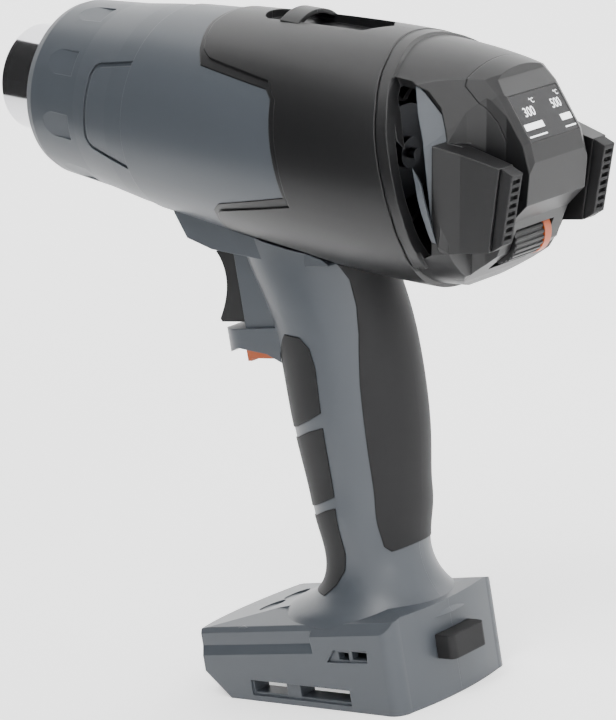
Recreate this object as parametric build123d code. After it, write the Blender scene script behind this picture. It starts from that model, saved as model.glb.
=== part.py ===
from build123d import *
import os
from math import cos, radians, sin

# Cordless heat gun, built as the separate pieces it comes apart into. Millimetres, +Z up.
# The tool stands on its battery foot: the foot's underside is z = 0 and the origin is the
# middle of the footprint of the whole tool. The nozzle points to -X and tips up by TILT.
# Pieces of the barrel are drawn in the barrel's own frame: x along its axis (the nozzle is
# at negative x), z up. on_barrel() puts them in their place on the tool.

TILT = 11.5            # slope of the barrel's axis when the tool stands
BARREL_X = 50.7        # where the barrel frame's zero lies on the tool
BARREL_Z = 160.0
FOOT_DEPTH = 2.4       # heights are drawn from this far above the foot's underside
WALL = 2.4             # moulded wall of the housings
GAP = 0.4              # clearance between pieces that move past each other

# Barrel, stations along its axis
NOZZLE_TIP = -153.3
NOZZLE_R = 16.75       # standard 33.5 mm push-on nozzle size
NOZZLE_WALL = 0.9
SLEEVE_FRONT = -133.0
SLEEVE_BACK = -87.6
SEAM = -87.3           # front edge of the housing
SHELL_EDGE = 0.15      # how far its edge stands proud of the grey housing
SHELL_STEP = 0.7       # the black shell stands this proud of the grey housing
MOTOR_R = 14.0
MOTOR_FRONT = -38.0
MOTOR_BACK = -4.0
SHAFT_R = 1.5
FAN_FRONT = -60.0
FAN_BACK = -43.0
FAN_R = 26.5

# Handle: (height, half depth, half width, middle) of its oval sections, top to bottom
HANDLE = [
    (140.0, 26.5, 17.6, 8.0),
    (122.0, 23.5, 17.0, 9.9),
    (108.0, 23.0, 17.0, 12.8),
    (94.0, 23.0, 17.0, 13.4),
    (78.0, 22.2, 16.8, 13.3),
    (60.0, 19.6, 16.2, 12.8),
    (43.0, 16.5, 15.3, 12.1),
    (35.0, 17.4, 16.0, 11.9),
    (30.0, 20.4, 18.4, 11.2),
    (26.5, 25.4, 21.6, 9.0),
    (22.5, 30.4, 24.0, 7.2),
]
GRIP_THICK = 2.0       # depth of the soft grips set into the handle

# Battery foot
FOOT_HALF = 25.6
FOOT_FRONT = -50.5
FOOT_BACK = 36.5
FOOT_TOP = 27.6        # highest line of its roof

TRIGGER_HALF = 8.0
WHEEL_X = 35.0         # control wheel, barrel frame
WHEEL_Z = -17.0
WHEEL_R = 7.0
WHEEL_HALF = 8.0


def sin_of(degrees):
    return sin(radians(degrees))


def cos_of(degrees):
    return cos(radians(degrees))


def on_barrel(shape):
    return Pos(BARREL_X, 0, BARREL_Z) * Rot(0, TILT, 0) * shape


def turned(points):
    """A solid turned about the barrel's axis from (station, radius) points."""
    outline = make_face(Polyline(*[(x, r) for x, r in points], close=True))
    return revolve(outline, Axis.X)


def rod(radius, start, end, y=0, z=0):
    """A round bar along the barrel's axis."""
    bar = Cylinder(radius, end - start, rotation=(0, 90, 0))
    return Pos((start + end) / 2, y, z) * bar


def tube(outer, inner, start, end):
    return rod(outer, start, end) - rod(inner, start - 1, end + 1)


def side_plate(points, half_width):
    """A slab with a side-view outline of (x, z) points, from -half_width to +half_width."""
    outline = make_face(Polyline(*[(x, z) for x, z in points], close=True))
    return extrude(Plane.XZ * outline, half_width, both=True)


def block(x0, x1, y0, y1, z0, z1):
    return Pos((x0 + x1) / 2, (y0 + y1) / 2, (z0 + z1) / 2) * Box(x1 - x0, y1 - y0, z1 - z0)


def left_of(shape):
    """The half on the -Y side, which is the tool's left when it points away from you."""
    return shape & Pos(0, -100, 100) * Box(500, 200, 500)


def right_of(shape):
    return shape & Pos(0, 100, 100) * Box(500, 200, 500)


def mirrored(shape):
    return mirror(shape, Plane.XZ)


def save(name, shape):
    export_step(shape, f"parts/{name}.step")


# ---------------------------------------------------------------- barrel skins

def barrel_solid(grow, front=SEAM, back=20.0):
    """The barrel's swelling body of revolution, its surface moved out by grow."""
    stations = [(SEAM, 31.6), (-62.0, 33.2), (-34.0, 34.6), (-6.0, 35.2), (20.0, 34.6)]
    rim = Spline(*[(x, r + grow) for x, r in stations])
    face = make_face([rim, Polyline((20.0, stations[-1][1] + grow), (20.0, 0), (SEAM, 0),
                                    (SEAM, stations[0][1] + grow))])
    solid = revolve(face, Axis.X)
    return solid & block(front, back, -60, 60, -60, 60)


def shell_region(gap):
    """Side-view region of the black rear shell; the grey housing's tongue reaches into it."""
    return side_plate([
        (-71 + gap, 60), (-68.5 + gap, 31), (-64 + gap, 25.5), (-60 + gap, 21.5 + gap),
        (-31.5, 19.2 + gap), (-28.8 + gap, 17.2), (-24 + gap, 0), (-21.4 + gap, -9.6 - gap),
        (-50.5, -17.4 - gap), (-54.5 + gap, -20.5), (-58 + gap, -29.6 + gap),
        (-26, -31.6 + gap), (-18, -34 + gap), (-12 + gap, -60), (60, -60), (60, 60),
    ], 60)


def collar_plane(offset=0.0):
    """The slanting rear edge of the shell: everything in front of it."""
    return side_plate([(-110, 70), (-6 + offset, 70), (-1 + offset, 36.5), (3.5 + offset, 31),
                       (9 + offset, 20.4), (13.5 + offset, 9), (16.2 + offset, 1.5),
                       (18.6 + offset, -8), (19.6 + offset, -17), (19 + offset, -26),
                       (17 + offset, -37), (17 + offset, -70), (-110, -70)], 60)


def make_rear_shell():
    """Black soft-touch skin over the rear of the barrel, thinner along its edge."""
    skin = barrel_solid(SHELL_EDGE) & shell_region(0.05)
    skin = skin + (barrel_solid(SHELL_STEP) & shell_region(2.4))
    skin = skin - barrel_solid(-WALL) + hanging_floor()
    return ((skin - hanging_slot()) & collar_plane(-0.1)) + hanging_bridge()


def hanging_floor():
    """Closes the hanging slot from below, so that no dust falls on the motor."""
    return block(-57.5, -5.5, -9.5, 9.5, 30.9, 32.0)


def hanging_slot():
    """The recess on top that a hook or a cord is put through, pointed at its rear end."""
    half = 7.5
    plan = make_face([
        Polyline((-49.5, -half), (-14, -half), (-8.5, 0), (-14, half), (-49.5, half)),
        ThreePointArc((-49.5, half), (-54.5, 0), (-49.5, -half)),
    ])
    return Pos(0, 0, 32.0) * extrude(plan, 40)


def hanging_bridge():
    """The arched loop across the slot."""
    arch = rod(14.5, -44, -37, 0, 22.5) - rod(13.1, -50, -30, 0, 22.5)
    return arch & block(-50, -30, -8.6, 8.6, 33, 60)


# ---------------------------------------------------------------- handle and foot

def handle_solid(grow, top=140.0, bottom=22.5):
    """The handle lofted through its oval sections, moved out by grow."""
    rings = []
    for height, depth, width, middle in HANDLE:
        rings.append(Pos(middle, 0, height) * Ellipse(depth + grow, width + grow))
    solid = loft(rings)
    return solid & block(-60, 60, -40, 40, bottom, top)


def trigger_housing(grow=0.0):
    """The fairing under the barrel that the trigger hangs from."""
    body = side_plate([(-37 - grow, 158), (-34 - grow, 148), (-30.5 - grow, 140.5 - grow),
                       (-21, 136.8 - grow), (12, 131 - grow), (30, 131 - grow), (34, 150)],
                      16 + grow)
    return body - on_barrel(barrel_solid(-WALL, back=0.0))


def trigger_neck(grow=0.0):
    """The narrow front of the handle that the trigger runs in."""
    return side_plate([(-17.4 - grow, 139), (-17.4 - grow, 109), (10, 109), (10, 139)], 10.8 + grow)


def finger_shelf(grow=0.0):
    """The hook under the trigger that keeps a finger from sliding down."""
    hook = side_plate([(-31 - grow, 107.5), (-28, 111 + grow), (6, 112 + grow), (8, 98),
                       (-4, 101 - grow), (-9.5, 103.6 - grow), (-21, 105.4 - grow),
                       (-27.5 - grow, 103.4 - grow)], 12 + grow)
    half = 12 + grow
    plan = make_face([
        Polyline((-19, -half), (20, -half), (20, half), (-19, half)),
        ThreePointArc((-19, half), (-31 - grow, 0), (-19, -half)),
    ])
    return hook & (Pos(0, 0, 80) * extrude(plan, 50))


def foot_outline(grow):
    """Plan of the foot: straight sides, a bowed front and a bowed back with cut corners."""
    half = FOOT_HALF + grow
    front = FOOT_FRONT - grow
    back = FOOT_BACK + grow
    return make_face([
        Line((front + 6, -half), (back - 7, -half)),
        ThreePointArc((back - 7, -half), (back - 3.6, 1.5 - half), (back - 2.3, 5 - half)),
        ThreePointArc((back - 2.3, 5 - half), (back, 0), (back - 2.3, half - 5)),
        ThreePointArc((back - 2.3, half - 5), (back - 3.6, half - 1.5), (back - 7, half)),
        Line((back - 7, half), (front + 6, half)),
        ThreePointArc((front + 6, half), (front, 0), (front + 6, -half)),
    ])


def foot_solid(grow):
    """The battery foot: upright walls, a sloping roof with bevelled sides, an undercut prow."""
    walls = Pos(0, 0, -FOOT_DEPTH) * extrude(foot_outline(grow), 40)
    profile = side_plate([(-70, 13 + grow), (-50, 17.6 + grow), (-12, FOOT_TOP - 2 + grow),
                          (10, FOOT_TOP + grow), (30, FOOT_TOP - 0.4 + grow),
                          (60, FOOT_TOP - 3 + grow), (60, -9), (-70, -9)], 50)
    bevel = along_roof([(13, 0.4), (22.9, -2.2), (25.8, -5.4), (40, -20), (40, 20), (13, 20)],
                       grow, 80)
    prow = side_plate([(-70, 11.5), (-70, -9), (-35 - grow, -9), (-35 - grow, -2.4),
                       (-46.5 - grow, 7.4), (-46 - grow, 11.5)], 50)
    notch = side_plate([(-70, 10.8), (-43.8 - grow, 11.2), (-70, 11.8)], 50)
    band = along_roof([(24.2, 8), (24.2, -7.6), (25.7, -10.6), (40, -10.6), (40, 8)], grow, 31.5)
    body = (walls & profile) - bevel - mirrored(bevel) - prow - notch
    return body - band - mirrored(band)


def along_roof(points, grow, reach):
    """A bar with a (y, z) outline that follows the roof's slope, ending at reach."""
    outline = make_face(Polyline(*[(y + grow, z) for y, z in points], close=True))
    bar = extrude(Plane.YZ * outline, 80, both=True) & block(-90, reach, -60, 60, -60, 60)
    return Pos(-30, 0, 22.4 + grow) * Rot(0, -5.2, 0) * bar


def foot_slots():
    """Framed vent slots in the side walls of the foot, and the thumb hollows on its roof."""
    cuts = []
    for side in (-1, 1):
        y = side * FOOT_HALF
        cuts.append(block(-25, -11.5, y - 8, y + 8, 0.4, 3.9))
        cuts.append(block(-6, 14.2, y - 8, y + 8, 0.4, 3.9))
        cuts.append(block(-25.6, 14.8, y - 0.9, y + 0.9, -0.5, 4.3))
        cuts.append(block(12, 16, y - 5, y + 5, 13.6, 15.9))
        cuts.append(block(17.4, 23.4, y - 5, y + 5, 14.0, 16.4))
        frame = side_plate([(7.6, 12.6), (23.8, 13.6), (24.2, 17.6), (10.8, 16.6)], 60)
        cuts.append(frame & block(0, 40, y - 0.9, y + 0.9, 0, 30))
        hollow = extrude(Ellipse(3.4, 5.2), 20)
        cuts.append(Pos(-30.5, side * 5.8, 20.7) * hollow)
    return cuts


def battery_bay():
    """The space the battery slides into from the front, under the foot."""
    return block(-60, 22, -18.5, 18.5, -4, 11.5) + block(-60, 22, -21.5, 21.5, 5.2, 9.8)


def insert_region(number):
    """Side-view regions of the three soft inserts down the front of the handle."""
    regions = [
        [(-30, 101.5), (-6, 101.5), (0, 108.5), (2.5, 110.6), (9.5, 110), (12.9, 106.6),
         (14, 101), (13.4, 87.2), (8, 84.8), (0, 82), (-12, 79.2), (-30, 79.2)],
        [(-30, 75.8), (-12, 75.8), (0, 78.8), (7, 81.2), (13.1, 82.6), (12.5, 61.2),
         (8, 59.6), (2, 57.6), (-12, 54.6), (-30, 54.6)],
        [(-30, 51.4), (-12, 51.4), (2, 54.6), (8, 56.8), (12.4, 57.8), (12.6, 43.5),
         (11.3, 38.2), (7.6, 33.7), (2.5, 30.2), (-30, 30.2)],
    ]
    return side_plate(regions[number], 40)


def rear_grip_region(gap):
    """Side-view region of the soft grip down the back of the handle."""
    return side_plate([(19.3 + gap, 150), (19.3 + gap, 135), (24.3 + gap, 131.6), (27.3 + gap, 126),
                       (28.7 + gap, 118), (28.8 + gap, 110), (27.4 + gap, 95), (26.6 + gap, 80),
                       (24.6 + gap, 52), (24.3 + gap, 45 + gap), (25.5 + gap, 43 + gap),
                       (33, 44.6 + gap), (60, 46), (60, 150)], 40)


def grip_skin(region, proud):
    skin = handle_solid(proud) - handle_solid(-GRIP_THICK)
    return skin & region


def make_rear_grip():
    """Soft grip down the back of the handle, cut to meet the rear shell."""
    grip = grip_skin(rear_grip_region(0.05), 0.3)
    grip = grip - on_barrel(barrel_solid(SHELL_STEP + 0.1))
    return grip - on_barrel(rear_solid(0.1))


def housing_cavity():
    hollow = handle_solid(-GRIP_THICK - WALL, top=139, bottom=29)
    hollow += trigger_housing(-WALL)
    hollow += trigger_neck(-WALL)
    bay_above = foot_solid(-WALL - 0.2) & block(-38, 31, -22, 22, 13.6, 40)
    return hollow + bay_above


def trigger_opening():
    """The mouth that the trigger slides in."""
    return block(-40, -2, -TRIGGER_HALF - GAP, TRIGGER_HALF + GAP, 112, 136.2)


def lock_opening():
    return block(-25.2 - GAP, -8.2 + GAP, -3 - GAP, 3 + GAP, 95, 113)


def make_housing_skin():
    """The grey housing as one skin: barrel front, tongue, trigger fairing, handle, foot."""
    barrel = barrel_solid(0) - barrel_solid(-WALL)
    barrel = barrel - shell_region(0)
    barrel = barrel & collar_plane(-0.1)
    lower = trigger_housing() + handle_solid(0) + trigger_neck() + finger_shelf() + foot_solid(0)
    lower = lower - on_barrel(barrel_solid(-WALL))
    lower = lower - on_barrel(barrel_solid(SHELL_STEP + 0.05) & shell_region(0))
    lower = lower - on_barrel(rear_solid(0.05))
    skin = lower - housing_cavity() + on_barrel(barrel)
    for number in range(3):
        skin = skin - grip_skin(insert_region(number), 0.5)
    skin = skin - (rear_grip_region(0) - handle_solid(-GRIP_THICK))
    skin = skin - trigger_opening() - lock_opening() - battery_bay()
    for cut in foot_slots():
        skin = skin - cut
    skin = skin - block(31.5, 42, -8.1, 8.1, 10.3, 17.7)
    return skin


# ---------------------------------------------------------------- rear end

def rear_solid(grow):
    """The black rear end: turned, faceted by its display face, scooped above its side arms."""
    rim = Spline((-16.0, 34.2 + grow), (8.0, 34.6 + grow), (24.0, 33.4 + grow),
                 (38.0, 31.0 + grow), (52.0 + grow, 26.0 + grow))
    face = make_face([rim, Polyline((52.0 + grow, 26.0 + grow), (52.0 + grow, 0), (-16.0, 0),
                                    (-16.0, 34.2 + grow))])
    facets = side_plate([(-30, 60), (36, 60), (36.6 + grow, 28.9 + grow), (40.4 + grow, 24.5 + grow),
                         (48.6 + grow, 13.4 + grow), (50.2 + grow, 8), (49.2 + grow, -4),
                         (43.6 + grow, -10), (41.5 + grow, -15), (39.6 + grow, -20 - grow),
                         (35, -23.8 - grow), (30, -28.5 - grow), (25, -32.5 - grow),
                         (18, -36 - grow), (-30, -60)], 60)
    scoop = side_plate([(70, 5 + grow), (48, 8.6 + grow), (29 + grow, 12.4 + grow),
                        (23 + grow, 30), (21 + grow, 60), (70, 60)], 60)
    scoop = scoop - rear_waist(grow)
    body = (revolve(face, Axis.X) & facets) - scoop
    for cut in tail_bevels(grow):
        body = body - cut - mirrored(cut)
    body = body - (block(33 + grow, 70, -60, 60, -60, 20) - rear_waist(grow))
    return body - collar_plane(0.1)


def tail_bevels(grow):
    """Cuts that round the side edges of the display face, each edge in two steps."""
    cuts = []
    edges = [((38.5, 26.7), 41), ((44.5, 18.95), 54), ((49.4, 10.7), 73.5)]
    for (x, z), lean in edges:
        for turn, depth in ((28, 1.0), (58, 0.75)):
            plane = Plane(origin=(x, -13.4, z), x_dir=(0, 1, 0), z_dir=(sin_of(lean), 0, cos_of(lean)))
            tilted = plane * Rot(0, -turn, 0)
            cuts.append(tilted * Pos(0, 0, 20 + grow - depth) * Box(60, 60, 40))
    return cuts


def rear_waist(grow):
    """Plan of the narrow tail that carries the display, extruded upright."""
    tail = [(-20, 60), (20, 60), (24, 34), (28, 24.5), (32, 18), (36, 14.6), (42, 13.4), (60, 13.2)]
    plan = [(x, y + grow) for x, y in tail] + [(x, -y - grow) for x, y in reversed(tail)]
    outline = make_face(Polyline(*plan, close=True))
    return extrude(outline, 60, both=True)


def inlet_region():
    """Side-view outline of the air inlet in each side of the rear cap."""
    return [(9, 27.4), (15, 27), (20.5, 25), (25, 21), (27.8, 15.5), (29.6, 10), (30.2, 3),
            (30.4, -8), (30.4, -17), (24, -20.5), (23.3, -15.8), (22.4, -7.7), (20, 1.8),
            (17.5, 9), (15.5, 13.5), (13.5, 18.5), (11, 23.6)]


def inlet_vane_region():
    """The part of the inlet that its grey insert fills; the rest stays open to the air."""
    return [(16, 26.5), (20.4, 24.8), (24.8, 20.9), (27.6, 15.4), (29.4, 10), (30, 3),
            (30.2, -8), (30.2, -17), (28.4, -17.9), (27.6, -9), (25.4, 2), (22.4, 11.5), (18.8, 19)]


def panel_region(gap):
    """Side view of the rear panel that carries the display and the control wheel."""
    return side_plate([(29.5 + gap, 60), (29.5 + gap, 27), (35.2 + gap, 22.2), (39.5 + gap, 17.8),
                       (41.9 + gap, 12.7), (41.7 + gap, 7.7), (38.5 + gap, -4), (34 + gap, -10),
                       (30 + gap, -18), (28 + gap, -26), (27 + gap, -60), (80, -60), (80, 60)],
                      17 - gap)


def wheel_window(grow=0.0):
    return block(28, 60, -8.6 - grow, 8.6 + grow, WHEEL_Z - 9, WHEEL_Z + 4)


def wheel_clearance():
    """Room for the control wheel to turn and for its sensor beside it."""
    room = Pos(WHEEL_X, 0, WHEEL_Z) * Cylinder(WHEEL_R + 0.5, 17.2, rotation=(90, 0, 0))
    return room + block(WHEEL_X - 9, WHEEL_X - 0.7, 10.25, 12.8, WHEEL_Z - 3, WHEEL_Z + 5.5)


def display_slab(top, bottom, half, height):
    """A slab parallel to the display face, between two depths below it."""
    slope = Plane(origin=(44.5, 0, 18.95), x_dir=(0, 1, 0), z_dir=(11.1, 0, 8.2))
    return slope * Pos(0, 0, -(top + bottom) / 2) * Box(2 * half, height, bottom - top)


def standing_arm(grow=0.0):
    """The arm behind each air inlet that a standing pad is set on, on the -Y side."""
    arm = side_plate([(28, 12.4), (48.1, 8.5), (45.1, -15.4), (28, -18.5)], 60)
    outer = 24.3 + grow
    inner = 18.3 - grow
    plan = make_face(Polyline((28, -28.2 - grow), (36, -26 - grow), (48.5, -outer), (60, -outer),
                              (60, -inner), (34, -inner), (28, -20 + grow), close=True))
    return arm & extrude(plan, 60, both=True)


def make_rear_cap():
    skin = rear_solid(0) - rear_solid(-WALL)
    skin = skin + collar_band()
    skin = skin - panel_region(0) - inlet_hole() - mirrored(inlet_hole())
    arms = standing_arm() - pad_solid(0.05)
    return skin + arms + mirrored(arms)


def collar_band():
    """The raised ring where the cap meets the shell."""
    ring = turned([(-14, 32.6), (-14, 35.9), (8, 35.5), (26, 34.6), (26, 31.4)])
    ring = ring & collar_plane(4.2) & block(-20, 30, -60, 60, -24, 60)
    return ring - collar_plane(0.1)


def inlet_hole():
    return side_plate(inlet_region(), 60) & Pos(0, -70, 0) * Box(400, 100, 400)


def make_inlet_insert():
    """Grey vane that fills the back of the air inlet, on the -Y side."""
    skin = rear_solid(-1.0) - rear_solid(-WALL - 0.8)
    vane = side_plate(inlet_vane_region(), 60) & Pos(0, -70.3, 0) * Box(400, 100, 400)
    return (skin & vane) - standing_arm(0.1)


def make_rear_panel():
    skin = (rear_solid(0) - rear_solid(-WALL - 0.6)) & panel_region(0.08)
    skin = skin - wheel_window() - wheel_clearance()
    skin = skin - display_slab(-1, 1.6, 10.9, 14.2) - display_slab(4.5, 6.3, 10.2, 13.2)
    ear = block(WHEEL_X - 3, 60, -10.2, -8.8, WHEEL_Z - 3, WHEEL_Z + 3) & rear_solid(-1.0)
    axle_hole = Pos(WHEEL_X, 0, WHEEL_Z) * Cylinder(1.55, 60, rotation=(90, 0, 0))
    return skin + ear + mirrored(ear) - axle_hole


def pad_solid(grow=0.0):
    pad = side_plate([(48.2 - grow, 8.4), (51.8, 7.0 + grow), (48.6, -13.0 - grow),
                      (45.2 - grow, -15.4)], 60)
    return pad & block(40, 60, -23.6 - grow, -18.8 + grow, -40, 40)


def make_standing_pad():
    """Rubber pad with short ribs in a shallow recess, on the -Y side."""
    pad = pad_solid()
    slope = Rot(0, -9.0, 0)
    for number in range(8):
        height = 5.0 - 2.3 * number
        back = 51.8 + (height - 7.0) * 0.16
        groove = Pos(back, -21.2, height) * slope * Box(2.4, 3.2, 1.2)
        pad = pad - groove
    return pad


# ---------------------------------------------------------------- moving controls

def make_trigger():
    """Finger trigger: hooked front, flat cheeks, with a bore for its return spring."""
    front = make_face([
        Polyline((-16, 134.6), (-27.4, 134.6)),
        Spline((-27.4, 134.6), (-25.2, 129.5), (-25.0, 125.5), (-27.2, 118.5), (-30.2, 113.6)),
        Polyline((-30.2, 113.6), (-29.6, 112.6), (-16, 112.6), (-16, 134.6)),
    ])
    body = extrude(Plane.XZ * front, TRIGGER_HALF, both=True)
    bore = Pos(-19, 0, 124) * Cylinder(3.4, 10, rotation=(0, 90, 0))
    return body - bore


def helix_wire(pitch, height, radius, wire):
    """A coil of round wire along +Z from the origin, drawn as one swept turn after another."""
    path = Helix(pitch, height, radius)
    start = Plane(origin=path @ 0, z_dir=path % 0)
    return sweep(start * Circle(wire), path, is_frenet=True)


def make_trigger_spring():
    coil = helix_wire(1.5, 9.0, 2.5, 0.35)
    return Pos(-17.2, 0, 124) * Rot(0, 90, 0) * coil


def make_lock_slider():
    """Orange thumb slide under the shelf; its stem holds the pulled trigger back."""
    tab = block(-24.4, -13.4, -5, 5, 100.4, 103.4)
    stem = block(-22.6, -15.2, -3, 3, 102.0, 111.6)
    nib = block(-24.4, -22.8, -5, 5, 99.6, 101.4)
    return tab + stem + nib


def make_control_wheel():
    roller = Cylinder(WHEEL_R, 2 * WHEEL_HALF - 3.2) - Cylinder(1.55, 40)
    for number in range(24):
        angle = 360 / 24 * number
        roller = roller - Rot(0, 0, angle) * Pos(WHEEL_R, 0, 0) * Box(0.8, 0.9, 20)
    placed = Pos(0, -1.6, 0) * Rot(90, 0, 0) * roller
    return Pos(WHEEL_X, 0, WHEEL_Z) * placed


def make_wheel_band():
    band = Cylinder(WHEEL_R + 0.1, 3.0) - Cylinder(1.55, 40)
    return Pos(WHEEL_X, WHEEL_HALF - 1.5, WHEEL_Z) * Rot(90, 0, 0) * band


# ---------------------------------------------------------------- heat and air

def make_nozzle_tube():
    """Stainless outlet tube with a rolled lip, flanged where it meets the heat shield."""
    body = tube(NOZZLE_R, NOZZLE_R - NOZZLE_WALL, NOZZLE_TIP, -82)
    lip = tube(NOZZLE_R, NOZZLE_R - 1.6, NOZZLE_TIP, NOZZLE_TIP + 1.2)
    flange = tube(22.0, NOZZLE_R - NOZZLE_WALL, -83.2, -82)
    return body + lip + flange


def sleeve_body(sunk=0.0):
    """The sleeve's outer form, its surface moved in by sunk."""
    return turned([(SLEEVE_FRONT, 17.6), (SLEEVE_FRONT, 25.0 - sunk), (-132.0, 26.6 - sunk),
                   (-129.5, 27.4 - sunk), (-110, 28.8 - sunk), (-95, 30.6 - sunk),
                   (SLEEVE_BACK, 31.2 - sunk), (SLEEVE_BACK, 17.6)])


def sleeve_groove():
    """The U-shaped groove in each side, open towards the housing."""
    outer = make_face(Polyline((-80, 20.0), (-104.2, 15.8), (-105.4, -9.0), (-80, -15.6), close=True))
    outer = fillet(outer.vertices().sort_by(Axis.X)[:2], 4.5)
    ring = outer - offset(outer, -1.3)
    plate = extrude(Plane.XZ * ring, 40, both=True)
    return plate - sleeve_body(0.8)


def make_front_sleeve():
    """Protective sleeve over the hot tube, with grip flats round its nose."""
    inner = turned([(-130.6, 17.5), (-130.6, 24.2), (-110, 26.4), (-95, 28.2), (-80, 28.8),
                    (-80, 17.5)])
    sleeve = sleeve_body() - inner - sleeve_groove()
    for number in range(9):
        flat = block(-124, -112.5, -3.9, 3.9, 27.75, 40)
        sleeve = sleeve - Rot(60 + 40 * number, 0, 0) * flat
    return sleeve


def make_heater_core():
    """Ceramic former: a round stick with six fins along the air stream."""
    core = rod(3.5, -136, -88)
    for number in range(3):
        core += Rot(60 * number, 0, 0) * block(-136, -88, -10.6, 10.6, -0.8, 0.8)
    return core - rod(1.5, -150, -80)


def make_heater_coil():
    coil = helix_wire(5.5, 44.0, 12.0, 0.9)
    return Pos(-134.5, 0, 0) * Rot(0, 90, 0) * coil


def make_fan_impeller():
    """Axial fan: hub, nine twisted blades and the ring that ties their tips."""
    middle = (FAN_FRONT + FAN_BACK) / 2
    fan = rod(9.0, FAN_FRONT, FAN_BACK)
    for number in range(9):
        blade = Rot(0, 0, 32) * block(-6, 6, -0.7, 0.7, 8.0, FAN_R - 0.4)
        fan += Rot(40 * number, 0, 0) * Pos(middle, 0, 0) * blade
    fan += tube(FAN_R, FAN_R - 1.2, FAN_FRONT + 1, FAN_BACK - 1)
    return fan - rod(SHAFT_R, -100, 100)


def make_motor_shaft():
    return rod(SHAFT_R, FAN_FRONT - 1.5, MOTOR_BACK + 4)


def make_fan_motor():
    """Can motor with a boss at each end; the shaft turns in its bore."""
    can = rod(MOTOR_R, MOTOR_FRONT, MOTOR_BACK)
    bosses = rod(4.5, MOTOR_FRONT - 2, MOTOR_FRONT) + rod(4.5, MOTOR_BACK, MOTOR_BACK + 2)
    return can + bosses - rod(SHAFT_R + 0.05, -60, 20)


def make_motor_mount():
    """Ring and four vanes that hold the motor in the middle of the air stream."""
    mount = tube(30.6, 29.0, -28, -14) + tube(MOTOR_R + 2.0, MOTOR_R + 0.05, -28, -14)
    for number in range(4):
        vane = block(-28, -14, -0.9, 0.9, MOTOR_R + 1.0, 29.6)
        mount += Rot(45 + 90 * number, 0, 0) * vane
    return mount


def make_air_funnel():
    """Necks the air from the fan down to the heater."""
    return turned([(-64, 30.2), (-64, 28.6), (-80, 15.4), (-86, 15.4), (-86, 14.0),
                   (-81, 14.0), (-66.4, 25.2), (-63.0, 27.8), (-61.5, 27.8), (-61.5, 30.2)])


def make_heat_shield():
    """Perforated steel shield around the outlet tube."""
    shield = tube(23.0, 22.2, -128, -84)
    for ring in range(5):
        for number in range(6):
            hole = Pos(-121 + 8 * ring, 0, 22) * Cylinder(2.2, 6)
            shield = shield - Rot(60 * number + 30 * (ring % 2), 0, 0) * hole
    return shield


def make_mica_tube():
    return tube(15.5, 14.9, -147, -86.2)


def make_temperature_probe():
    return rod(1.2, -142, -129) + rod(0.7, -129, -100)


# ---------------------------------------------------------------- inside the handle

# (x, height, seat of the head, reach of the pillar) of each housing screw
SCREWS = [(19.5, 100.0, 14.8, 15.0), (17.5, 51.0, 13.6, 14.0),
          (-27.0, 17.0, 21.0, 23.4), (26.5, 20.0, 21.0, 24.4)]


def across(radius, y0, y1, x, z):
    """A round bar across the tool, along Y."""
    return Pos(x, (y0 + y1) / 2, z) * Cylinder(radius, y1 - y0, rotation=(90, 0, 0))


def make_housing_left(skin):
    """The half the screws bite into: blind pillars."""
    half = left_of(skin)
    for x, z, _, reach in SCREWS:
        half = half + across(3.6, -reach, 0, x, z)
    for x, z, _, _ in SCREWS:
        half = half - across(1.55, -10.5, 1, x, z)
    return half


def make_housing_right(skin):
    """The half the screws pass through: pillars with a seat for each head."""
    half = right_of(skin)
    for x, z, _, reach in SCREWS:
        half = half + across(3.6, 0, reach, x, z)
    for x, z, seat, _ in SCREWS:
        half = half - across(1.55, -1, seat, x, z)
        half = half - across(3.0, seat - 2.6, 45, x, z)
    return half


def make_housing_screws():
    screws = []
    for x, z, seat, _ in SCREWS:
        screw = across(2.8, seat - 2.5, seat, x, z) + across(1.5, -10, seat - 2, x, z)
        socket = across(1.3, seat - 1.5, seat + 1, x, z)
        screws.append(screw - socket)
    return Compound(children=screws)


def make_switch_module():
    """Trigger switch: a box with a plunger that the trigger pushes."""
    body = block(-7.2, 8, -8, 8, 113.5, 129.5)
    ports = block(8, 10, -6, 6, 116, 126)
    return body + ports


def make_trigger_guide():
    """Round post on the switch that carries the return spring."""
    return Pos(-10.8, 0, 124) * Cylinder(1.6, 7.0, rotation=(0, 90, 0))


def make_control_board():
    board = block(19.0, 20.6, -9, 9, 56, 92)
    board += block(13.0, 19.0, -6, 0, 62, 70)
    board += block(15.5, 19.0, 2, 8, 74, 84)
    return board + Pos(16.0, -2, 84) * Cylinder(3.0, 6.0, rotation=(0, 90, 0))


def make_terminal_block():
    return block(8, 20, -14, 14, 2.0, 11.4)


def make_contact_blades():
    """Four flat blades that enter the battery."""
    blades = []
    for y in (-10.5, -4.0, 4.0, 10.5):
        blades.append(block(-3, 7.95, y - 0.4, y + 0.4, 4.0, 9.5))
    return Compound(children=blades)


def make_battery_rail():
    """Steel wear strip on the ledge the battery hooks over, -Y side."""
    return block(-30, 20, -21.4, -18.7, 5.25, 6.0)


def make_foot_block():
    """Rubber block on the back of the foot, a rest for the tool when laid down."""
    pad = block(31.6, 42.4, -8, 8, 10.4, 17.6)
    return fillet(pad.edges().filter_by(Axis.Z).group_by(Axis.X)[-1], 2.0)


# ---------------------------------------------------------------- display and wheel fittings

def make_display_window():
    return display_slab(0.1, 1.55, 10.8, 14.0)


def make_display_board():
    return display_slab(4.6, 6.2, 10.1, 13.0)


def make_wheel_axle():
    return Pos(WHEEL_X, 0, WHEEL_Z) * Cylinder(1.5, 20.2, rotation=(90, 0, 0))


def make_wheel_encoder():
    return block(WHEEL_X - 8.5, WHEEL_X - 1.2, 10.4, 12.6, WHEEL_Z - 2.5, WHEEL_Z + 5)


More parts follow.
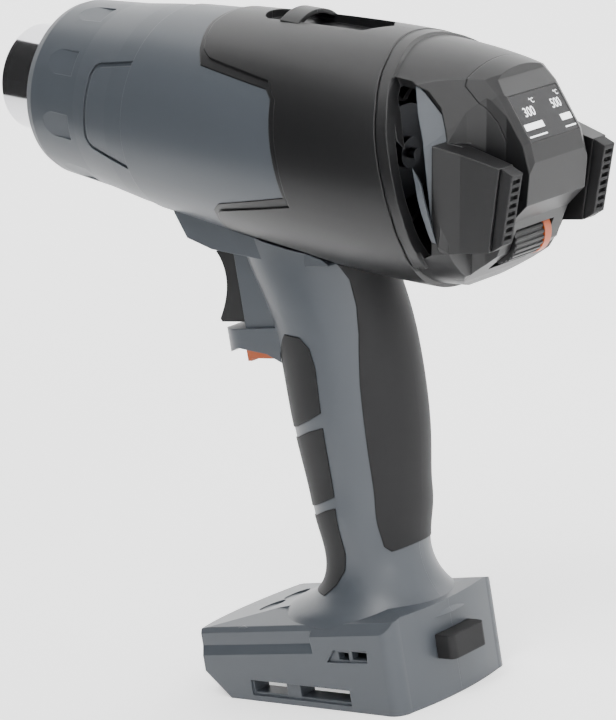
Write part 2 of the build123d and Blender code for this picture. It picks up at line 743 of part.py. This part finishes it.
def build_pieces():
    """Every piece by name, each in its place on the tool."""
    housing = make_housing_skin()
    shell = on_barrel(make_rear_shell())
    barrel_pieces = {
        "rear_cap": make_rear_cap(),
        "rear_panel": make_rear_panel(),
        "inlet_insert_left": make_inlet_insert(),
        "inlet_insert_right": mirrored(make_inlet_insert()),
        "standing_pad_left": make_standing_pad(),
        "standing_pad_right": mirrored(make_standing_pad()),
        "display_window": make_display_window(),
        "display_board": make_display_board(),
        "control_wheel": make_control_wheel(),
        "wheel_band": make_wheel_band(),
        "wheel_axle": make_wheel_axle(),
        "wheel_encoder": make_wheel_encoder(),
        "nozzle_tube": make_nozzle_tube(),
        "front_sleeve": make_front_sleeve(),
        "heater_core": make_heater_core(),
        "heater_coil": make_heater_coil(),
        "mica_tube": make_mica_tube(),
        "heat_shield": make_heat_shield(),
        "air_funnel": make_air_funnel(),
        "temperature_probe": make_temperature_probe(),
        "fan_impeller": make_fan_impeller(),
        "motor_shaft": make_motor_shaft(),
        "fan_motor": make_fan_motor(),
        "motor_mount": make_motor_mount(),
    }
    pieces = {name: on_barrel(shape) for name, shape in barrel_pieces.items()}
    pieces["housing_left"] = make_housing_left(housing)
    pieces["housing_right"] = make_housing_right(housing)
    pieces["rear_shell_left"] = left_of(shell)
    pieces["rear_shell_right"] = right_of(shell)
    for number, name in enumerate(("upper", "middle", "lower")):
        pieces[f"grip_insert_{name}"] = grip_skin(insert_region(number), 0.3)
    pieces["rear_grip"] = make_rear_grip()
    pieces["trigger"] = make_trigger()
    pieces["trigger_spring"] = make_trigger_spring()
    pieces["trigger_guide"] = make_trigger_guide()
    pieces["lock_slider"] = make_lock_slider()
    pieces["switch_module"] = make_switch_module()
    pieces["control_board"] = make_control_board()
    pieces["terminal_block"] = make_terminal_block()
    pieces["contact_blades"] = make_contact_blades()
    pieces["battery_rail_left"] = make_battery_rail()
    pieces["battery_rail_right"] = mirrored(make_battery_rail())
    pieces["foot_block"] = make_foot_block()
    pieces["housing_screws"] = make_housing_screws()
    return {name: Pos(0, 0, FOOT_DEPTH) * shape for name, shape in pieces.items()}


def main():
    os.makedirs("parts", exist_ok=True)
    for name, shape in build_pieces().items():
        save(name, shape)


if __name__ == "__main__":
    main()
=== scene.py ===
"""Cordless heat gun: finishes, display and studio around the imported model.

Lengths are in metres. X runs along the tool with the nozzle at -X, Z is up, and the tool
stands on its battery foot.
"""

import math

import bmesh
import bpy
from mathutils import Matrix, Quaternion, Vector


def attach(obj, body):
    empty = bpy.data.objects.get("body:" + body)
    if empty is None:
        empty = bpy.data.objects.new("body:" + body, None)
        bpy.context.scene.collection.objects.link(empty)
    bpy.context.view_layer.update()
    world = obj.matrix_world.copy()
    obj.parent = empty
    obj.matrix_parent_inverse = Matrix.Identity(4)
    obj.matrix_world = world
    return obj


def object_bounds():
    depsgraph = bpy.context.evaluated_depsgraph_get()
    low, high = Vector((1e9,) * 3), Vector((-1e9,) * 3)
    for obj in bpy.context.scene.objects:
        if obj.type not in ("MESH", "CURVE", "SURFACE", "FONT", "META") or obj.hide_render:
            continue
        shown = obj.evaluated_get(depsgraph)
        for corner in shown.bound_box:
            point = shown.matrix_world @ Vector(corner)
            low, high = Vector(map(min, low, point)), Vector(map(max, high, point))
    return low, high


bl_info = {
    "name": "Cordless Heat Gun",
    "version": (1, 0, 0),
    "blender": (4, 5, 0),
    "location": "View3D > Sidebar > Heat Gun",
    "description": "Finishes, display and studio for the heat gun's packed model",
    "category": "Object",
}

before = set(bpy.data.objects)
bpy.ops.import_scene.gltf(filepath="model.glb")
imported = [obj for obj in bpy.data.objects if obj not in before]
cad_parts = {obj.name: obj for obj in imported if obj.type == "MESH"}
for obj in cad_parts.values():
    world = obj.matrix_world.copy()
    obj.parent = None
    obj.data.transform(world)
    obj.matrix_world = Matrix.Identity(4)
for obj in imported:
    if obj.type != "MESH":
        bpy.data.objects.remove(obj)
CAD_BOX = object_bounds()
MM = 0.001

# The barrel's own frame: its zero on the tool, and the slope of its axis
BARREL_ZERO = Vector((50.7, 0.0, 162.4)) * MM
BARREL_TILT = math.radians(11.5)

# The display face in the barrel's frame: its middle, and how far it leans back from upright
DISPLAY_MIDDLE = Vector((44.5, 0.0, 18.95)) * MM
DISPLAY_LEAN = math.atan2(8.2, 11.1)
WINDOW_SINK = 0.1 * MM          # the window lies this far below the face
PRINT_HEIGHT = 0.07 * MM        # printed marks stand this far off the window
CAP_HEIGHT = 0.73               # height of a digit over the font's size
BAR_ROUNDING = 0.18             # corner radius of a bar over its shorter side

# The sweep: a square floor, and how high and how softly it turns up into the wall
FLOOR_SIZE = 8.0
WALL_HEIGHT = 5.0
SWEEP_RADIUS = 2.0

# The flags hang off the middle of the nozzle, this far below the top of the tool
NOZZLE_DROP = 0.03


def linear(code):
    """An sRGB hex colour as linear red, green and blue."""
    parts = [int(code[i:i + 2], 16) / 255 for i in (0, 2, 4)]
    return tuple(c / 12.92 if c <= 0.04045 else ((c + 0.055) / 1.055) ** 2.4 for c in parts)


# ------------------------------------------------------------------ settings

class HeatGunFinishes(bpy.types.PropertyGroup):
    """Colours of the tool."""

    housing: bpy.props.FloatVectorProperty(
        name="Housing", description="Glass-filled plastic of the housings and the sleeve",
        subtype="COLOR", default=linear("34383d"))
    shell: bpy.props.FloatVectorProperty(
        name="Shell", description="Satin black plastic of the rear shell and the cap",
        subtype="COLOR", default=linear("0e0e0f"))
    rubber: bpy.props.FloatVectorProperty(
        name="Rubber", description="Soft grip inserts and pads",
        subtype="COLOR", default=linear("131314"))
    accent: bpy.props.FloatVectorProperty(
        name="Accent", description="Copper-orange lock slide and wheel band",
        subtype="COLOR", default=linear("94400f"))


class HeatGunDisplay(bpy.types.PropertyGroup):
    """Sizes of the marks on the display."""

    digit_height: bpy.props.FloatProperty(
        name="Digit Height", description="Height of the temperature digits",
        subtype="DISTANCE", unit="LENGTH", default=2.9 * MM)
    unit_height: bpy.props.FloatProperty(
        name="Unit Height", description="Height of the degree sign and its letter",
        subtype="DISTANCE", unit="LENGTH", default=1.5 * MM)


class HeatGunStudio(bpy.types.PropertyGroup):
    """The camera's place and the lights' power."""

    camera_place: bpy.props.FloatVectorProperty(
        name="Camera Place", description="Where the camera stands, in the tool's frame",
        subtype="XYZ", unit="LENGTH", default=(0.6047, -0.6450, 0.2700))
    azimuth: bpy.props.FloatProperty(
        name="Azimuth", description="Direction from which the camera looks, round the tool",
        subtype="ANGLE", unit="ROTATION", default=math.radians(43.36))
    elevation: bpy.props.FloatProperty(
        name="Elevation", description="How far above the horizon the camera stands",
        subtype="ANGLE", unit="ROTATION", default=math.radians(10.77))
    roll: bpy.props.FloatProperty(
        name="Roll", description="How far the camera leans to one side",
        subtype="ANGLE", unit="ROTATION", default=math.radians(-9.23))
    key_power: bpy.props.FloatProperty(
        name="Key Power", description="Power of the large soft light above the tool",
        unit="POWER", default=19.0)
    fill_power: bpy.props.FloatProperty(
        name="Fill Power", description="Power of the low light in front of the tool",
        unit="POWER", default=3.0)
    sweep_glow: bpy.props.FloatProperty(
        name="Sweep Glow", description="How brightly the back-lit floor and wall glow",
        default=0.62)
    daylight: bpy.props.FloatProperty(
        name="Daylight", description="Strength of the even light from all round",
        default=0.08)


# ------------------------------------------------------------------ materials

def add_node(tree, kind, values=None, links=None):
    """Adds a node with its settings or socket values, and links the sockets that feed it."""
    node = tree.nodes.new(kind)
    for name, value in (values or {}).items():
        if name in node.inputs:
            node.inputs[name].default_value = value
        else:
            setattr(node, name, value)
    for name, source in (links or {}).items():
        tree.links.new(source, node.inputs[name])
    return node


def new_material(name, values):
    """A material with one Principled surface; returns it with its tree and its shader."""
    material = bpy.data.materials.new(name)
    material.use_nodes = True
    tree = material.node_tree
    shader = tree.nodes["Principled BSDF"]
    for socket, value in values.items():
        shader.inputs[socket].default_value = value
    return material, tree, shader


def grained(name, colour, roughness, grain_mm, height_mm, soften_mm, extra=None):
    """A moulded surface: spark-eroded grain, and edges as soft as a mould leaves them."""
    values = {"Base Color": (*colour, 1), "Roughness": roughness, "IOR": 1.5}
    values.update(extra or {})
    material, tree, shader = new_material(name, values)
    place = add_node(tree, "ShaderNodeTexCoord")
    grain = add_node(tree, "ShaderNodeTexNoise", {"Scale": 1 / (grain_mm * MM), "Detail": 3.0},
                     {"Vector": place.outputs["Object"]})
    edge = add_node(tree, "ShaderNodeBevel", {"samples": 6, "Radius": soften_mm * MM})
    bump = add_node(tree, "ShaderNodeBump", {"Strength": 0.5, "Distance": height_mm * MM},
                    {"Height": grain.outputs["Fac"], "Normal": edge.outputs["Normal"]})
    tree.links.new(bump.outputs["Normal"], shader.inputs["Normal"])
    return material


def metal(name, colour, roughness):
    """A bare metal with no pattern."""
    material, _, _ = new_material(name, {"Base Color": (*colour, 1), "Metallic": 1.0,
                                         "Roughness": roughness})
    return material


def plain(name, colour, roughness):
    """A smooth surface with no pattern."""
    material, _, _ = new_material(name, {"Base Color": (*colour, 1), "Roughness": roughness})
    return material


def glass_filled_nylon(finishes):
    # Glass-filled polyamide, moulded in a finely eroded tool: an even satin slate grey
    return grained("Glass Filled Nylon", finishes.housing, 0.40, 0.35, 0.02, 0.35,
                   {"Specular IOR Level": 0.4})


def satin_shell(finishes):
    # Soft-touch coated ABS: black with a broad, dim highlight
    return grained("Soft Touch ABS", finishes.shell, 0.40, 0.30, 0.015, 0.5,
                   {"Specular IOR Level": 0.32})


def moulded_rubber(finishes):
    # Thermoplastic rubber: coarser grain, almost no gloss
    return grained("Moulded TPE", finishes.rubber, 0.62, 0.40, 0.03, 0.6,
                   {"Specular IOR Level": 0.22})


def copper_orange(finishes):
    # Pigmented acetal, smooth from the tool
    return grained("Copper Orange Acetal", finishes.accent, 0.38, 0.5, 0.01, 0.3)


def display_glass():
    # Hard-coated acrylic over a black mask: deep black, sharp reflections
    material, _, _ = new_material("Masked Acrylic", {
        "Base Color": (0.003, 0.003, 0.004, 1), "Roughness": 0.16, "IOR": 1.49,
        "Specular IOR Level": 0.18})
    return material


def display_print():
    # Lit liquid-crystal segments behind the window
    white = (*linear("f4f6f8"), 1)
    material, _, _ = new_material("Lit Segments", {
        "Base Color": white, "Roughness": 0.5, "Emission Color": white,
        "Emission Strength": 0.5})
    return material


def polished_steel():
    # Drawn stainless tube, polished round its axis: bright, with faint turning marks
    material, tree, shader = new_material("Polished Stainless", {
        "Base Color": (*linear("d9d9dc"), 1), "Metallic": 1.0, "Roughness": 0.10})
    place = add_node(tree, "ShaderNodeTexCoord")
    along = add_node(tree, "ShaderNodeMapping", {"Rotation": (0, -BARREL_TILT, 0)},
                     {"Vector": place.outputs["Object"]})
    marks = add_node(tree, "ShaderNodeTexWave",
                     {"bands_direction": "X", "Scale": 1 / (3 * MM), "Distortion": 1.5,
                      "Detail": 2.0}, {"Vector": along.outputs["Vector"]})
    bump = add_node(tree, "ShaderNodeBump", {"Strength": 0.04, "Distance": 0.01 * MM},
                    {"Height": marks.outputs["Fac"]})
    tree.links.new(bump.outputs["Normal"], shader.inputs["Normal"])
    return material


# ------------------------------------------------------------------ helpers

def deselect():
    """Clears the selection, which the loaded pieces would otherwise share."""
    bpy.ops.object.select_all(action="DESELECT")


def dress(material, *nodes):
    """Gives CAD pieces a finish."""
    for node in nodes:
        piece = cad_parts[node]
        for holder in piece.material_slots:
            holder.material = material


def display_plane():
    """Matrix of the window's surface: x to the tool's right, y up the face, z out of it."""
    up = Matrix.Rotation(BARREL_TILT, 4, "Y")
    face = Matrix.Translation(DISPLAY_MIDDLE)
    lean = (Matrix.Rotation(math.pi / 2 - DISPLAY_LEAN, 4, "Y")
            @ Matrix.Rotation(math.pi / 2, 4, "Z"))
    sink = Matrix.Translation((0, 0, -WINDOW_SINK))
    return Matrix.Translation(BARREL_ZERO) @ up @ face @ lean @ sink


def settle(piece, place):
    """Moves a mark's mesh onto the display; its object stays at the origin, unturned."""
    piece.data.transform(place @ piece.matrix_world)
    piece.matrix_world = Matrix.Identity(4)
    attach(piece, "root")


def print_text(name, text, height, middle, squeeze=1.0):
    """A line of print on the display, as a thin raised mesh."""
    deselect()
    bpy.ops.object.text_add(location=(0, 0, 0))
    line = bpy.context.object
    line.data.body = text
    line.data.size = height / CAP_HEIGHT
    line.data.align_x = "CENTER"
    line.data.align_y = "CENTER"
    line.data.extrude = PRINT_HEIGHT / 2
    bpy.ops.object.convert(target="MESH")
    line = bpy.context.object
    line.name = name
    line.scale = (squeeze, 1, 1)
    line.location = (middle[0] * MM, middle[1] * MM, PRINT_HEIGHT / 2)
    bpy.context.view_layer.update()
    return line


def print_bar(name, width, height, middle):
    """A lit bar on the display, with rounded corners."""
    deselect()
    bpy.ops.mesh.primitive_cube_add(
        size=1, location=(middle[0] * MM, middle[1] * MM, PRINT_HEIGHT / 2),
        scale=(width * MM, height * MM, PRINT_HEIGHT))
    bar = bpy.context.object
    bar.name = name
    bpy.ops.object.transform_apply(location=True, rotation=True, scale=True)
    bpy.ops.object.mode_set(mode="EDIT")
    mesh = bmesh.from_edit_mesh(bar.data)
    for edge in mesh.edges:
        side = abs((edge.verts[0].co - edge.verts[1].co).z)
        edge.select_set(side > PRINT_HEIGHT / 2)
    bmesh.update_edit_mesh(bar.data)
    bpy.ops.mesh.bevel(offset=min(width, height) * BAR_ROUNDING * MM, segments=3)
    bpy.ops.object.mode_set(mode="OBJECT")
    return bar


# ------------------------------------------------------------------ operators

class HEATGUN_OT_housings(bpy.types.Operator):
    """Finish the grey housings, the front sleeve and the inlet vanes"""

    bl_idname = "heatgun.housings"
    bl_label = "Housings"

    def execute(self, context):
        material = glass_filled_nylon(context.scene.heatgun_finishes)
        dress(material, "housing_left", "housing_right", "front_sleeve",
              "inlet_insert_left", "inlet_insert_right")
        return {"FINISHED"}


class HEATGUN_OT_shells(bpy.types.Operator):
    """Finish the black shells, cap, panel, trigger, wheel and terminal block"""

    bl_idname = "heatgun.shells"
    bl_label = "Black Shells"

    def execute(self, context):
        material = satin_shell(context.scene.heatgun_finishes)
        dress(material, "rear_shell_left", "rear_shell_right", "rear_cap", "rear_panel",
              "trigger", "control_wheel", "terminal_block")
        return {"FINISHED"}


class HEATGUN_OT_rubbers(bpy.types.Operator):
    """Finish the soft grips, the standing pads and the foot's block"""

    bl_idname = "heatgun.rubbers"
    bl_label = "Rubbers"

    def execute(self, context):
        material = moulded_rubber(context.scene.heatgun_finishes)
        dress(material, "grip_insert_upper", "grip_insert_middle", "grip_insert_lower",
              "rear_grip", "standing_pad_left", "standing_pad_right", "foot_block")
        return {"FINISHED"}


class HEATGUN_OT_accents(bpy.types.Operator):
    """Finish the lock slide and the wheel's band"""

    bl_idname = "heatgun.accents"
    bl_label = "Accents"

    def execute(self, context):
        dress(copper_orange(context.scene.heatgun_finishes), "lock_slider", "wheel_band")
        return {"FINISHED"}


class HEATGUN_OT_outlet(bpy.types.Operator):
    """Finish the outlet tube and the heater inside it"""

    bl_idname = "heatgun.outlet"
    bl_label = "Outlet and Heater"

    def execute(self, context):
        dress(polished_steel(), "nozzle_tube")
        # Aluminised sheet, a little dulled by heat
        dress(metal("Aluminised Sheet", linear("a9a9a6"), 0.38), "heat_shield")
        # Chrome-nickel resistance wire with its brown oxide
        dress(metal("Oxidised Heater Wire", linear("6b625a"), 0.45), "heater_coil",
              "temperature_probe")
        # Unglazed steatite: chalky white
        dress(grained("Unglazed Steatite", linear("d8d2c4"), 0.75, 0.5, 0.03, 0.3), "heater_core")
        # Mica sheet rolled to a tube: honey brown with a silky gloss
        dress(plain("Rolled Mica", linear("8f7a58"), 0.3), "mica_tube")
        return {"FINISHED"}


class HEATGUN_OT_blower(bpy.types.Operator):
    """Finish the fan, its motor and funnel, and the pale inner mouldings"""

    bl_idname = "heatgun.blower"
    bl_label = "Blower"

    def execute(self, context):
        # PBT in its natural colour, off-white and slightly waxy
        dress(plain("Natural PBT", linear("d9d8d2"), 0.45), "air_funnel", "switch_module",
              "trigger_guide", "wheel_encoder")
        # Glass-filled PBT dyed black: dull, so that the inlets look dark
        dress(plain("Black PBT", linear("141415"), 0.55), "fan_impeller", "motor_mount")
        # Steel can, blackened against rust
        dress(metal("Blackened Steel", linear("3c3d40"), 0.35), "fan_motor", "motor_shaft")
        return {"FINISHED"}


class HEATGUN_OT_electrics(bpy.types.Operator):
    """Finish the boards and the battery contacts"""

    bl_idname = "heatgun.electrics"
    bl_label = "Electrics"

    def execute(self, context):
        # Glass-epoxy board under green solder mask
        dress(plain("Solder Mask", linear("1c5a34"), 0.3), "control_board", "display_board")
        # Tinned brass blades
        dress(metal("Tinned Brass", linear("cbb98a"), 0.25), "contact_blades")
        return {"FINISHED"}


class HEATGUN_OT_fasteners(bpy.types.Operator):
    """Finish the screws, the spring, the axle and the rails"""

    bl_idname = "heatgun.fasteners"
    bl_label = "Steel Parts"

    def execute(self, context):
        # Bright steel: turned screws and axle, drawn spring wire, rolled strip
        dress(metal("Plain Steel", linear("8b8c8f"), 0.3), "housing_screws", "trigger_spring",
              "wheel_axle", "battery_rail_left", "battery_rail_right")
        return {"FINISHED"}


class HEATGUN_OT_display(bpy.types.Operator):
    """Finish the window and draw its digits, bars and lines"""

    bl_idname = "heatgun.display"
    bl_label = "Display"

    def execute(self, context):
        sizes = context.scene.heatgun_display
        dress(display_glass(), "display_window")
        lit = display_print()
        marks = [
            print_text("display_set_value", "300", sizes.digit_height, (-5.4, 1.4), 0.82),
            print_text("display_set_unit", "°C", sizes.unit_height, (-2.2, 4.3), 0.9),
            print_text("display_real_value", "500", sizes.digit_height, (6.9, 1.7), 0.72),
            print_text("display_real_unit", "°C", sizes.unit_height, (9.0, 4.6), 0.8),
            print_bar("display_set_bar", 8.2, 1.9, (-6.2, -2.7)),
            print_bar("display_real_bar", 4.6, 1.9, (8.2, -2.7)),
            print_bar("display_set_line", 7.8, 0.45, (-6.4, -5.6)),
            print_bar("display_real_line", 4.6, 0.45, (8.2, -5.6)),
        ]
        place = display_plane()
        for mark in marks:
            mark.data.materials.clear()
            mark.data.materials.append(lit)
            settle(mark, place)
        return {"FINISHED"}


class HEATGUN_OT_studio(bpy.types.Operator):
    """Lay the pale sweep, hang the lights and set up the camera"""

    bl_idname = "heatgun.studio"
    bl_label = "Studio"

    def execute(self, context):
        studio = context.scene.heatgun_studio
        self.lay_sweep(studio)
        self.hang_lights(studio)
        self.hang_flags()
        self.set_camera(studio)
        return {"FINISHED"}

    def lay_sweep(self, studio):
        """A floor that curves up into a wall far behind the tool."""
        deselect()
        back_edge = FLOOR_SIZE / 2 - 0.1
        bpy.ops.mesh.primitive_plane_add(size=FLOOR_SIZE, location=(0, 0, 0))
        sweep = bpy.context.object
        sweep.name = "studio_sweep"
        bpy.ops.object.mode_set(mode="EDIT")
        mesh = bmesh.from_edit_mesh(sweep.data)
        for edge in mesh.edges:
            edge.select_set(all(v.co.y > back_edge for v in edge.verts))
        bmesh.update_edit_mesh(sweep.data)
        bpy.ops.mesh.extrude_region_move(TRANSFORM_OT_translate={"value": (0, 0, WALL_HEIGHT)})
        mesh = bmesh.from_edit_mesh(sweep.data)
        for edge in mesh.edges:
            edge.select_set(all(v.co.y > back_edge and abs(v.co.z) < 0.01
                                for v in edge.verts))
        bmesh.update_edit_mesh(sweep.data)
        bpy.ops.mesh.bevel(offset=SWEEP_RADIUS, segments=16)
        bpy.ops.object.mode_set(mode="OBJECT")
        bpy.ops.object.shade_smooth_by_angle(angle=math.radians(40))
        sweep.data.transform(Matrix.Rotation(studio.azimuth, 4, "Z"))
        # Back-lit white acrylic: the floor and the wall glow evenly, as in a light tent
        acrylic, _, _ = new_material("Back Lit Acrylic", {
            "Base Color": (*linear("f4f4f4"), 1), "Roughness": 0.9,
            "Emission Color": (1, 1, 1, 1), "Emission Strength": studio.sweep_glow})
        sweep.data.materials.append(acrylic)

    def hang_lights(self, studio):
        """Even daylight, and three soft lamps that look at the middle of the tool."""
        world = bpy.data.worlds.new("Studio Daylight")
        world.use_nodes = True
        daylight = world.node_tree.nodes["Background"]
        daylight.inputs["Color"].default_value = (1, 1, 1, 1)
        daylight.inputs["Strength"].default_value = studio.daylight
        bpy.context.scene.world = world
        middle = (CAD_BOX[0] + CAD_BOX[1]) / 2
        lamps = [("key_light", (-0.10, -0.55, 0.95), (0.9, 0.45), studio.key_power),
                 ("fill_light", (0.9, -0.9, 0.15), (0.5, 0.5), studio.fill_power),
                 ("rim_light", (0.3, 0.9, 0.7), (0.8, 0.4), studio.fill_power)]
        for name, place, (length, width), power in lamps:
            deselect()
            aim = (Vector(place) - middle).to_track_quat("Z", "Y").to_euler()
            bpy.ops.object.light_add(type="AREA", location=place, rotation=aim)
            lamp = bpy.context.object
            lamp.name = name
            lamp.data.shape = "RECTANGLE"
            lamp.data.size = length
            lamp.data.size_y = width
            lamp.data.energy = power

    def hang_flags(self):
        """Black cloths beside the nozzle, which give the polished tube its dark bands."""
        nozzle = Vector((CAD_BOX[0].x, 0, CAD_BOX[1].z)) + Vector((0, 0, -NOZZLE_DROP))
        for name, away, length, width in (
                ("upper_flag", (-0.35, -0.42, 0.30), 0.60, 0.12),
                ("lower_flag", (-0.45, -0.45, -0.10), 0.60, 0.10)):
            place = nozzle + Vector(away)
            deselect()
            aim = Vector(away).to_track_quat("Z", "Y").to_euler()
            bpy.ops.mesh.primitive_plane_add(size=1, location=place, rotation=aim,
                                             scale=(length, width, 1))
            flag = bpy.context.object
            flag.name = name
            flag.data.materials.append(plain("Black Molton", (0.004, 0.004, 0.004), 1.0))

    def set_camera(self, studio):
        """A long lens that looks at the tool from behind, above and to its left."""
        round_tool, above = studio.azimuth, studio.elevation
        back = Vector((math.sin(round_tool) * math.cos(above),
                       -math.cos(round_tool) * math.cos(above), math.sin(above)))
        level = (-back).to_track_quat("-Z", "Y")
        turned = level @ Quaternion((0, 0, 1), studio.roll)
        deselect()
        bpy.ops.object.camera_add(location=studio.camera_place, rotation=turned.to_euler())
        camera = bpy.context.object
        camera.name = "studio_camera"
        camera.data.lens = 150
        camera.data.sensor_width = 36
        camera.data.clip_start = 0.01
        bpy.context.scene.camera = camera


class HEATGUN_PT_panel(bpy.types.Panel):
    """Lists the steps that finish the heat gun"""

    bl_idname = "HEATGUN_PT_panel"
    bl_label = "Heat Gun"
    bl_space_type = "VIEW_3D"
    bl_region_type = "UI"
    bl_category = "Heat Gun"

    def draw(self, context):
        for step in STEPS:
            self.layout.operator(step.bl_idname)
        for group in (context.scene.heatgun_finishes, context.scene.heatgun_display,
                      context.scene.heatgun_studio):
            for name in group.bl_rna.properties.keys():
                if name not in ("rna_type", "name"):
                    self.layout.prop(group, name)


SETTINGS = {"heatgun_finishes": HeatGunFinishes, "heatgun_display": HeatGunDisplay,
            "heatgun_studio": HeatGunStudio}
STEPS = [HEATGUN_OT_housings, HEATGUN_OT_shells, HEATGUN_OT_rubbers, HEATGUN_OT_accents,
         HEATGUN_OT_outlet, HEATGUN_OT_blower, HEATGUN_OT_electrics, HEATGUN_OT_fasteners,
         HEATGUN_OT_display, HEATGUN_OT_studio]


def register():
    for kind in [*SETTINGS.values(), *STEPS, HEATGUN_PT_panel]:
        bpy.utils.register_class(kind)
    for name, kind in SETTINGS.items():
        setattr(bpy.types.Scene, name, bpy.props.PointerProperty(type=kind))


def unregister():
    for name in SETTINGS:
        delattr(bpy.types.Scene, name)
    for kind in reversed([*SETTINGS.values(), *STEPS, HEATGUN_PT_panel]):
        bpy.utils.unregister_class(kind)


def main():
    """Runs every step in order."""
    register()
    bpy.ops.heatgun.housings()
    bpy.ops.heatgun.shells()
    bpy.ops.heatgun.rubbers()
    bpy.ops.heatgun.accents()
    bpy.ops.heatgun.outlet()
    bpy.ops.heatgun.blower()
    bpy.ops.heatgun.electrics()
    bpy.ops.heatgun.fasteners()
    bpy.ops.heatgun.display()
    bpy.ops.heatgun.studio()


if __name__ == "__main__":
    main()
